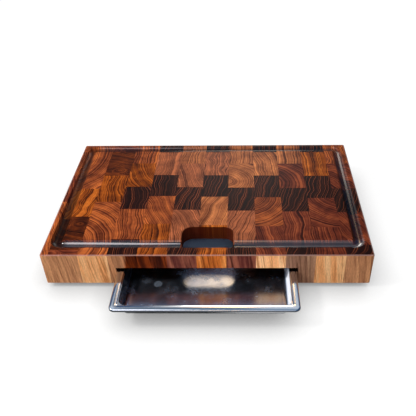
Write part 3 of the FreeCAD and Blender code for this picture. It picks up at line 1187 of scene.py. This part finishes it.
@dataclass
class SlidingTray:
    """The pressed tray: a rim with a turned-down lip round a drafted well, in millimetres."""

    steel: PolishedSteel
    sheet: float = 0.8
    lip: float = 4.0
    rim_corner: float = 9.0
    fold: float = 1.6
    flange: float = 11.0
    mouth_fold: float = 0.9
    step_depth: float = 2.4
    step_corner: float = 3.5
    ledge: float = 0.5
    well_corner: float = 14.0
    well_depth: float = 25.0
    draft: float = 4.5
    floor_fillet: float = 8.0
    crown: float = 0.8
    """Millimetres that the rolled rim falls from its crest to its inner edge."""
    crest: float = 0.5
    """Where the crest lies, as a share of the rim's width."""
    crown_segments: int = 3
    fall: float = 0.15
    """Millimetres that the ledge and the floor fall at their edges."""
    guard: float = 0.6
    """Width of the narrow faces that keep the flats flat beside a bend."""
    floor_dish: float = 0.1
    """How deep the floor's last level lies, as a share of the fall."""
    corner_segments: int = 10
    bend_segments: int = 6
    sharp: float = 35.0
    """Degrees from which an edge is shaded sharp."""
    low: Vector = field(init=False)
    high: Vector = field(init=False)

    def __post_init__(self) -> None:
        """Takes the tray's outside from the frame."""
        self.low, self.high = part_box("steel_tray")

    def rings(self) -> list[Ring]:
        """Lists the levels of the surface, from the lip up, over the rim and down into the well.

        Returns:
            The levels.
        """
        shoulder = -self.fold - self.guard - self._crown(0.0)
        rings = [Ring(0.0, -self.lip, self.rim_corner), Ring(0.0, shoulder, self.rim_corner)]
        for part in range(self.bend_segments + 1):
            angle = math.pi / 2.0 * part / self.bend_segments
            inset = self.fold * (1.0 - math.cos(angle))
            height = self.fold * (math.sin(angle) - 1.0) - self._crown(inset)
            rings.append(Ring(inset, height, self.rim_corner - inset))
        outer = self.fold + self.guard
        inner = self.flange - self.mouth_fold - self.guard
        sharper = self.step_corner + self.mouth_fold + self.guard
        middle = self.flange * self.crest
        for part in range(-self.crown_segments, self.crown_segments + 1):
            reach = middle - outer if part < 0 else inner - middle
            inset = middle + reach * part / self.crown_segments
            share = (inset - outer) / (inner - outer)
            corner = (self.rim_corner - outer) * (1.0 - share) + sharper * share
            rings.append(Ring(inset, -self._crown(inset), corner))
        for part in range(self.bend_segments + 1):
            angle = math.pi / 2.0 * part / self.bend_segments
            inset = self.flange - self.mouth_fold * (1.0 - math.sin(angle))
            drop = self._crown(inset) + self.mouth_fold * (1.0 - math.cos(angle))
            rings.append(Ring(inset, -drop, self.step_corner + self.flange - inset))
        rings.append(Ring(self.flange, -self.step_depth, self.step_corner))
        return rings + self._well_rings()

    def _crown(self, inset: float) -> float:
        """How far the rolled rim lies below its crest, at a distance in from its edge."""
        middle = self.flange * self.crest
        return self.crown * ((inset - middle) / (self.flange - middle)) ** 2

    def _well_rings(self) -> list[Ring]:
        """Lists the levels of the drafted wall and of the fillet down to the floor.

        Returns:
            The levels.
        """
        slope = math.atan(self.draft / (self.well_depth - self.step_depth))
        foot = self.flange + self.draft
        tangent = self.floor_fillet * math.tan((math.pi / 2.0 - slope) / 2.0)
        corner_at_mouth = self.well_corner + self.flange
        ledge = self.flange + self.ledge
        rings = [Ring(ledge, -self.step_depth - self.fall, self.well_corner - self.ledge)]
        centre = foot + tangent
        parts = 2 * self.bend_segments
        for part in range(parts + 1):
            angle = slope + (math.pi / 2.0 - slope) * part / parts
            inset = centre - self.floor_fillet * math.cos(angle)
            height = -self.well_depth + self.floor_fillet * (1.0 - math.sin(angle))
            rings.append(Ring(inset, height, corner_at_mouth - inset))
        last = centre + self.guard
        rings.append(Ring(last, -self.well_depth - self.floor_dish * self.fall, corner_at_mouth - last))
        return rings

    def _loop(self, ring: Ring) -> bpy.types.Object:
        """Makes one level as a closed loop of edges.

        Args:
            ring: The level.

        Returns:
            The loop's object.
        """
        centre = (self.low + self.high) / 2.0
        deselect_all()
        place = (centre.x, centre.y, self.high.z + ring.height * MM)
        bpy.ops.mesh.primitive_plane_add(size=1.0, location=place)
        loop = bpy.context.object
        width = self.high.x - self.low.x - 2.0 * ring.inset * MM
        length = self.high.y - self.low.y - 2.0 * ring.inset * MM
        loop.scale = (width, length, 1.0)
        settle(loop)
        open_all(loop, Pick.CORNERS)
        bpy.ops.mesh.bevel(offset=ring.corner * MM, segments=self.corner_segments, affect="VERTICES")
        bpy.ops.mesh.select_all(action="SELECT")
        bpy.ops.mesh.delete(type="ONLY_FACE")
        leave_edit()
        return loop

    def build(self) -> bpy.types.Object:
        """Bridges the levels into a sheet and gives it its thickness.

        Returns:
            The tray.
        """
        loops = [self._loop(ring) for ring in self.rings()]
        count = len(loops[0].data.vertices)
        tray = loops[0]
        take_up(tray)
        for loop in loops:
            loop.select_set(True)
        bpy.ops.object.join()
        tray.name = "polished_tray"
        tray.data.name = tray.name
        for number in range(len(loops) - 1):
            self._open_levels(tray, number * count, (number + 2) * count)
            bpy.ops.mesh.bridge_edge_loops()
            leave_edit()
        self._open_levels(tray, (len(loops) - 1) * count, len(loops) * count)
        bpy.ops.mesh.edge_face_add()
        bpy.ops.mesh.select_all(action="SELECT")
        bpy.ops.mesh.normals_make_consistent(inside=False)
        leave_edit()
        floor = min(tray.data.polygons, key=lambda polygon: polygon.center.z)
        if floor.normal.z < 0.0:
            open_all(tray, Pick.FACES)
            bpy.ops.mesh.flip_normals()
            leave_edit()
        finish_with(tray, "SOLIDIFY", thickness=self.sheet * MM, offset=-1.0, use_even_offset=True)
        smooth(tray, self.sharp)
        coat(tray, self.steel.material("polished_tray_steel"))
        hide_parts("steel_tray")
        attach(tray, "tray")
        LOG.info("tray: %d levels, %d faces", len(loops), len(tray.data.polygons))
        return tray

    @staticmethod
    def _open_levels(tray: bpy.types.Object, first: int, stop: int) -> None:
        """Opens the tray with the edges selected that run between two vertex numbers.

        Args:
            tray: The tray.
            first: The first vertex.
            stop: One past the last vertex.
        """
        open_some(tray, Pick.EDGES, lambda edge: all(first <= number < stop for number in edge.vertices))


# ---------------------------------------------------------------- feet and screws


@dataclass(frozen=True)
class MattRubber:
    """Black moulded rubber with a fine grain."""

    colour: Colour = (0.018, 0.018, 0.019)
    roughness: Ramp = (0.6, 0.84)
    grain_scale: float = 1.0 / 0.5
    dust_scale: float = 1.0 / 6.0
    dust_light: Ramp = (0.6, 1.9)
    """How dark the clean rubber is, and how light the dusty."""
    relief_strength: float = 0.4
    relief_depth: float = 0.1

    def material(self, name: str) -> bpy.types.Material:
        """Makes the finish.

        Args:
            name: The material's name.

        Returns:
            The material.
        """
        surface = SurfaceSketch(name)
        grain = surface.place.noise(self.grain_scale, detail=2.0)
        dust = surface.place.noise(self.dust_scale, detail=3.0)
        return surface.finish({
            "Base Color": dust.remap(*self.dust_light).tint(self.colour),
            "Roughness": dust.remap(*self.roughness),
            "Normal": grain.relief(self.relief_strength, self.relief_depth),
        })


@dataclass(frozen=True)
class TurnedSteel:
    """Zinc-plated steel with fine turning marks."""

    colour: Colour = (0.52, 0.53, 0.55)
    roughness: Ramp = (0.2, 0.45)
    mark_squeeze: Point = (1.0, 1.0, 8.0)
    mark_scale: float = 1.0 / 0.8
    mark_light: Ramp = (0.8, 1.15)
    relief_strength: float = 0.3
    relief_depth: float = 0.05

    def material(self, name: str) -> bpy.types.Material:
        """Makes the finish.

        Args:
            name: The material's name.

        Returns:
            The material.
        """
        surface = SurfaceSketch(name)
        marks = surface.place.stretch(self.mark_squeeze).noise(self.mark_scale, detail=2.0)
        return surface.finish({
            "Base Color": marks.remap(*self.mark_light).tint(self.colour),
            "Metallic": 1.0,
            "Roughness": marks.remap(*self.roughness),
            "Normal": marks.relief(self.relief_strength, self.relief_depth),
        })


@dataclass
class ScrewedFeet:
    """Four tapered rubber feet, each held by a screw in its recess, in millimetres."""

    rubber: MattRubber
    steel: TurnedSteel
    height: float = 8.0
    top_radius: float = 14.0
    bottom_radius: float = 12.5
    recess_radius: float = 6.0
    recess_depth: float = 5.0
    head_radius: float = 4.4
    head_height: float = 2.4
    cross_reach: float = 2.5
    cross_width: float = 0.9
    cross_depth: float = 1.5
    shank_radius: float = 2.0
    shank_top: float = 24.0
    """Millimetres up to the end of the screw."""
    foot_edge: float = 0.9
    """Radius of the foot's soft edges."""
    foot_edge_segments: int = 3
    foot_edge_angle: float = 0.6
    """Radians from which an edge of the foot is softened."""
    foot_sharp: float = 40.0
    """Degrees from which an edge of the foot is shaded sharp."""
    head_crown: float = 0.8
    """Radius of the crown of a screw's head."""
    head_crown_segments: int = 4
    screw_sharp: float = 35.0
    """Degrees from which an edge of the screw is shaded sharp."""
    segments: int = 48

    def places(self) -> list[Vector]:
        """Finds the middles of the feet on the counter, from the box of the four together.

        Returns:
            The four places.
        """
        low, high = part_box("rubber_feet")
        reach = self.top_radius * MM
        return [
            Vector((x, y, 0.0))
            for x in (low.x + reach, high.x - reach)
            for y in (low.y + reach, high.y - reach)
        ]

    def build(self) -> list[bpy.types.Object]:
        """Makes one foot and one screw, and a copy of each at every place.

        Returns:
            The feet and the screws.
        """
        foot, screw = self._foot(), self._screw()
        made = []
        for number, place in enumerate(self.places(), 1):
            made.append(self._set_down(foot, place, f"soft_foot_{number}", "rubber_feet"))
            made.append(self._set_down(screw, place, f"foot_screw_{number}", "foot_screws"))
        for pattern in (foot, screw):
            bpy.data.objects.remove(pattern)
        LOG.info("feet: %d pieces", len(made))
        return made

    def _set_down(
        self, pattern: bpy.types.Object, place: Vector, name: str, node: str
    ) -> bpy.types.Object:
        """Copies a pattern, with its own mesh, to its place on the board.

        Args:
            pattern: The piece to copy.
            place: Where it goes.
            name: The copy's name.
            node: The frame's node that it stands for.

        Returns:
            The copy.
        """
        piece = pattern.copy()
        piece.data = pattern.data.copy()
        piece.name = name
        piece.data.name = name
        piece.data.transform(Matrix.Translation(place))
        bpy.context.scene.collection.objects.link(piece)
        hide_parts(node)
        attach(piece, "board")
        return piece

    def _foot(self) -> bpy.types.Object:
        """Models a foot at the origin: a soft-edged taper with a stepped recess under it.

        Returns:
            The foot.
        """
        deselect_all()
        bpy.ops.mesh.primitive_cone_add(
            vertices=self.segments,
            radius1=self.bottom_radius * MM,
            radius2=self.top_radius * MM,
            depth=self.height * MM,
            location=(0.0, 0.0, self.height * MM / 2.0),
        )
        foot = bpy.context.object
        foot.name = "soft_foot"
        settle(foot)
        open_some(foot, Pick.FACES, lambda face: face.normal.z < -FACING)
        bpy.ops.mesh.inset(thickness=(self.bottom_radius - self.recess_radius) * MM)
        rise = (0.0, 0.0, self.recess_depth * MM)
        bpy.ops.mesh.extrude_region_move(TRANSFORM_OT_translate={"value": rise})
        leave_edit()
        edges = {"width": self.foot_edge * MM, "segments": self.foot_edge_segments}
        finish_with(foot, "BEVEL", **edges, limit_method="ANGLE", angle_limit=self.foot_edge_angle)
        smooth(foot, self.foot_sharp)
        coat(foot, self.rubber.material("foot_rubber"))
        return foot

    def _screw(self) -> bpy.types.Object:
        """Models a screw at the origin: a crowned head with a cross recess, and a plain shank.

        Returns:
            The screw.
        """
        seat = self.recess_depth * MM
        deselect_all()
        bpy.ops.mesh.primitive_cylinder_add(
            vertices=self.segments,
            radius=self.head_radius * MM,
            depth=self.head_height * MM,
            location=(0.0, 0.0, seat - self.head_height * MM / 2.0),
        )
        screw = bpy.context.object
        screw.name = "foot_screw"
        settle(screw)
        open_some(screw, Pick.FACES, lambda face: face.normal.z < -FACING)
        crown = {"offset": self.head_crown * MM, "segments": self.head_crown_segments}
        bpy.ops.mesh.bevel(**crown, affect="EDGES")
        leave_edit()
        self._cut_slot(screw, self.cross_reach, self.cross_width)
        self._cut_slot(screw, self.cross_width, self.cross_reach)
        seated = seat - TOUCH * MM
        open_some(screw, Pick.FACES, lambda face: face.normal.z > FACING and face.center.z > seated)
        bpy.ops.mesh.inset(thickness=(self.head_radius - self.shank_radius) * MM)
        rise = (0.0, 0.0, self.shank_top * MM - seat)
        bpy.ops.mesh.extrude_region_move(TRANSFORM_OT_translate={"value": rise})
        leave_edit()
        smooth(screw, self.screw_sharp)
        coat(screw, self.steel.material("screw_steel"))
        return screw

    def _cut_slot(self, screw: bpy.types.Object, length: float, width: float) -> None:
        """Cuts one arm of the cross recess.

        Args:
            screw: The screw's head.
            length: Half the arm's size along X in millimetres.
            width: Half the arm's size along Y in millimetres.
        """
        face = (self.recess_depth - self.head_height) * MM
        deselect_all()
        bpy.ops.mesh.primitive_cube_add(size=2.0, location=(0.0, 0.0, face))
        cutter = bpy.context.object
        cutter.scale = (length * MM, width * MM, self.cross_depth * MM)
        settle(cutter)
        finish_with(screw, "BOOLEAN", operation="DIFFERENCE", object=cutter, solver="EXACT")
        bpy.data.objects.remove(cutter)


# ---------------------------------------------------------------- the studio


@dataclass(frozen=True)
class Softbox:
    """A rectangle of soft light that faces a point. Places and sizes are in metres."""

    name: str
    place: Point
    size: tuple[float, float]
    watts: float
    colour: Colour = (1.0, 1.0, 1.0)
    aim: Point = (0.0, 0.0, 0.05)
    mirrored: bool = True
    """Whether shiny surfaces show it."""
    lights: bool = True
    """Whether it lights dull surfaces."""

    def hang(self) -> None:
        """Puts the light up, out of the camera's sight."""
        lamp = bpy.data.lights.new(self.name, "AREA")
        lamp.shape = "RECTANGLE"
        lamp.size, lamp.size_y = self.size
        lamp.energy = self.watts
        lamp.color = self.colour
        holder = bpy.data.objects.new(self.name, lamp)
        bpy.context.scene.collection.objects.link(holder)
        holder.location = self.place
        holder.visible_camera = False
        holder.visible_glossy = self.mirrored
        holder.visible_diffuse = self.lights
        away = Vector(self.place) - Vector(self.aim)
        holder.rotation_euler = away.to_track_quat("Z", "Y").to_euler()


@dataclass(frozen=True)
class SoftRoom:
    """The room around the object: white to the eye, and with a ceiling and a window in the steel.

    Its parts are placed by direction. Each ramp gives where a part begins and where it is full,
    as a share of the way up, to the right or to the front.
    """

    ambient: float = 0.07
    """Strength of the light that it gives."""
    walls: Colour = (0.97, 0.985, 1.0)
    ceiling: Colour = (0.24, 0.34, 0.47)
    ceiling_foot: Ramp = (0.8, 0.93)
    cornice: Colour = (0.16, 0.2, 0.26)
    cornice_foot: Ramp = (0.64, 0.72)
    cornice_ends: Colour = (0.66, 0.74, 0.86)
    cornice_left: Ramp = (-0.2, -0.26)
    cornice_right: Ramp = (0.0, 0.05)
    window: Colour = (5.2, 3.2, 1.6)
    window_left: Ramp = (-0.1, -0.04)
    window_right: Ramp = (0.03, 0.0)
    window_foot: Ramp = (0.58, 0.66)
    window_head: Ramp = (0.715, 0.695)
    dusk: Colour = (0.035, 0.09, 0.2)
    """Colour of the right and the low front of the room, and of a band at the sides."""
    dusk_right: Ramp = (0.2, 0.5)
    dusk_front: Ramp = (0.2, 0.4)
    dusk_head: Ramp = (0.4, 0.3)
    band_foot: Ramp = (0.34, 0.42)
    band_head: Ramp = (0.69, 0.64)
    band_left: Ramp = (-0.11, -0.17)
    band_right: Ramp = (0.05, 0.2)

    def build(self) -> None:
        """Makes the room the scene's world."""
        world = bpy.data.worlds.new("soft_room")
        world.use_nodes = True
        bpy.context.scene.world = world
        sketch = NodeSketch(world.node_tree)
        camera, mirror, glass = (
            sketch.make("ShaderNodeLightPath", f"Is {kind} Ray", {})
            for kind in ("Camera", "Glossy", "Transmission")
        )
        way = sketch.make("ShaderNodeTexCoord", "Generated", {})
        up, right, front = way.along(UP), way.along(RIGHT), way.along(FRONT)
        ends = right.ease(*self.cornice_left).most(right.ease(*self.cornice_right))
        colour = ends.mix(self.cornice, self.cornice_ends)
        colour = (up.ease(*self.cornice_foot) * mirror).mix(self.walls, colour)
        window = right.ease(*self.window_left) * right.ease(*self.window_right)
        window = window * up.ease(*self.window_foot) * up.ease(*self.window_head)
        colour = (window * mirror).mix(colour, self.window)
        colour = (up.ease(*self.ceiling_foot) * mirror).mix(colour, self.ceiling)
        low = front.ease(*self.dusk_front) * up.ease(*self.dusk_head)
        aside = right.ease(*self.band_right).most(right.ease(*self.band_left))
        band = up.ease(*self.band_foot) * up.ease(*self.band_head)
        dusk = right.ease(*self.dusk_right).most(low).most(aside * band)
        seen = camera.most(mirror).most(glass)
        inputs = {
            "Color": (dusk * mirror).mix(colour, self.dusk),
            "Strength": seen.remap(self.ambient, 1.0),
        }
        sketch.close(sketch.make("ShaderNodeBackground", 0, inputs), "ShaderNodeOutputWorld")


@dataclass(frozen=True)
class PaleFloor:
    """A wide floor that is white to the camera and keeps the object's shadow."""

    width: float = 14.0
    """Metres across."""
    colour: Colour = (0.1, 0.1, 0.1)
    glow: float = 0.97
    """Light that the floor adds towards the camera."""
    reach: float = 0.06
    """Metres around the object within which the glow is softly shaded by it."""
    darkest: float = 0.12
    """How much of the glow is left right under the object."""
    samples: int = 8

    def build(self) -> None:
        """Lays the floor."""
        deselect_all()
        bpy.ops.mesh.primitive_plane_add(size=self.width, location=(0.0, 0.0, 0.0))
        floor = bpy.context.object
        floor.name = "pale_floor"
        material = bpy.data.materials.new("pale_floor")
        material.use_nodes = True
        sketch = NodeSketch(material.node_tree)
        paint = sketch.make("ShaderNodeBsdfDiffuse", 0, {"Color": self.colour})
        seen = sketch.make("ShaderNodeLightPath", "Is Camera Ray", {})
        inputs = {"Distance": self.reach}
        nearby = sketch.make("ShaderNodeAmbientOcclusion", "AO", inputs, samples=self.samples)
        strength = seen * nearby.remap(self.darkest, 1.0) * self.glow
        light = sketch.make("ShaderNodeEmission", 0, {"Strength": strength})
        sketch.close(sketch.make("ShaderNodeAddShader", 0, {0: paint, 1: light}))
        floor.data.materials.append(material)


@dataclass(frozen=True)
class ProductCamera:
    """The camera, above the front of the board and looking down on it."""

    place: Point = (0.05475, -0.7575, 0.6223)
    """Where it stands, in metres."""
    down: float = 38.46
    """Degrees that it looks down."""
    yaw: float = -1.32
    """Degrees that it is turned to the right."""
    roll: float = 0.90
    """Degrees that it is rolled."""
    picture_width: float = 416.0
    focal_pixels: float = 559.36
    centre_pixel: tuple[float, float] = (232.24, 228.62)
    """Where the lens's axis meets the picture, from its top left corner."""
    sensor: float = 36.0
    """Millimetres across the sensor."""

    def build(self) -> None:
        """Sets the camera up."""
        down, yaw, roll = (math.radians(angle) for angle in (self.down, self.yaw, self.roll))
        forward = Vector((math.sin(yaw) * math.cos(down), math.cos(yaw) * math.cos(down), -math.sin(down)))
        level = Vector((math.cos(yaw), -math.sin(yaw), 0.0))
        below = forward.cross(level)
        right = level * math.cos(roll) + below * math.sin(roll)
        up = level * math.sin(roll) - below * math.cos(roll)
        lens = bpy.data.cameras.new("product_camera")
        lens.sensor_width = self.sensor
        lens.lens = self.focal_pixels / self.picture_width * self.sensor
        lens.shift_x = 0.5 - self.centre_pixel[0] / self.picture_width
        lens.shift_y = self.centre_pixel[1] / self.picture_width - 0.5
        camera = bpy.data.objects.new("product_camera", lens)
        bpy.context.scene.collection.objects.link(camera)
        turned = Matrix((right, up, -forward)).transposed().to_4x4()
        camera.matrix_world = Matrix.Translation(self.place) @ turned
        bpy.context.scene.camera = camera


@dataclass(frozen=True)
class Studio:
    """A pale floor in a soft room, soft lights and the camera."""

    floor: PaleFloor = PaleFloor()
    room: SoftRoom = SoftRoom()
    camera: ProductCamera = ProductCamera()
    softboxes: tuple[Softbox, ...] = (
        Softbox("left_softbox", (-1.355, -0.336, 1.34), (0.32, 0.32), 44.0, (1.0, 0.98, 0.95)),
        Softbox("front_softbox", (0.15, -2.0, 0.75), (1.8, 0.7), 14.5, WARM_WHITE, mirrored=False),
        Softbox("camera_softbox", (0.12, -1.6, 1.35), (1.2, 0.7), 8.0, WARM_WHITE, mirrored=False),
        Softbox("high_softbox", (-0.47, -0.4, 1.25), (0.5, 0.8), 5.5, (1.0, 0.93, 0.95), lights=False),
        Softbox("back_softbox", (0.05, 1.5, 0.8), (0.55, 0.45), 4.4, (1.0, 0.94, 0.88), lights=False),
        Softbox("fill_softbox", (1.4, 1.6, 0.6), (1.0, 0.6), 8.0, mirrored=False),
    )

    def build(self) -> None:
        """Lays the floor, makes the room, hangs the lights and sets up the camera."""
        self.floor.build()
        self.room.build()
        for softbox in self.softboxes:
            softbox.hang()
        self.camera.build()
        LOG.info("studio: %d softboxes", len(self.softboxes))


# ---------------------------------------------------------------- the whole scene


def main() -> None:
    """Loads the frame and builds the studio, the board, the tray and the feet around it."""
    logging.basicConfig(level=logging.INFO, format="%(name)s: %(message)s")
    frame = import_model()
    bpy.context.scene.view_settings.view_transform = "Standard"
    Studio().build()
    EndGrainBoard(frame["nodes"]).build()
    SlidingTray(PolishedSteel()).build()
    ScrewedFeet(MattRubber(), TurnedSteel()).build()
    bpy.context.view_layer.update()


if __name__ == "__main__":
    main()
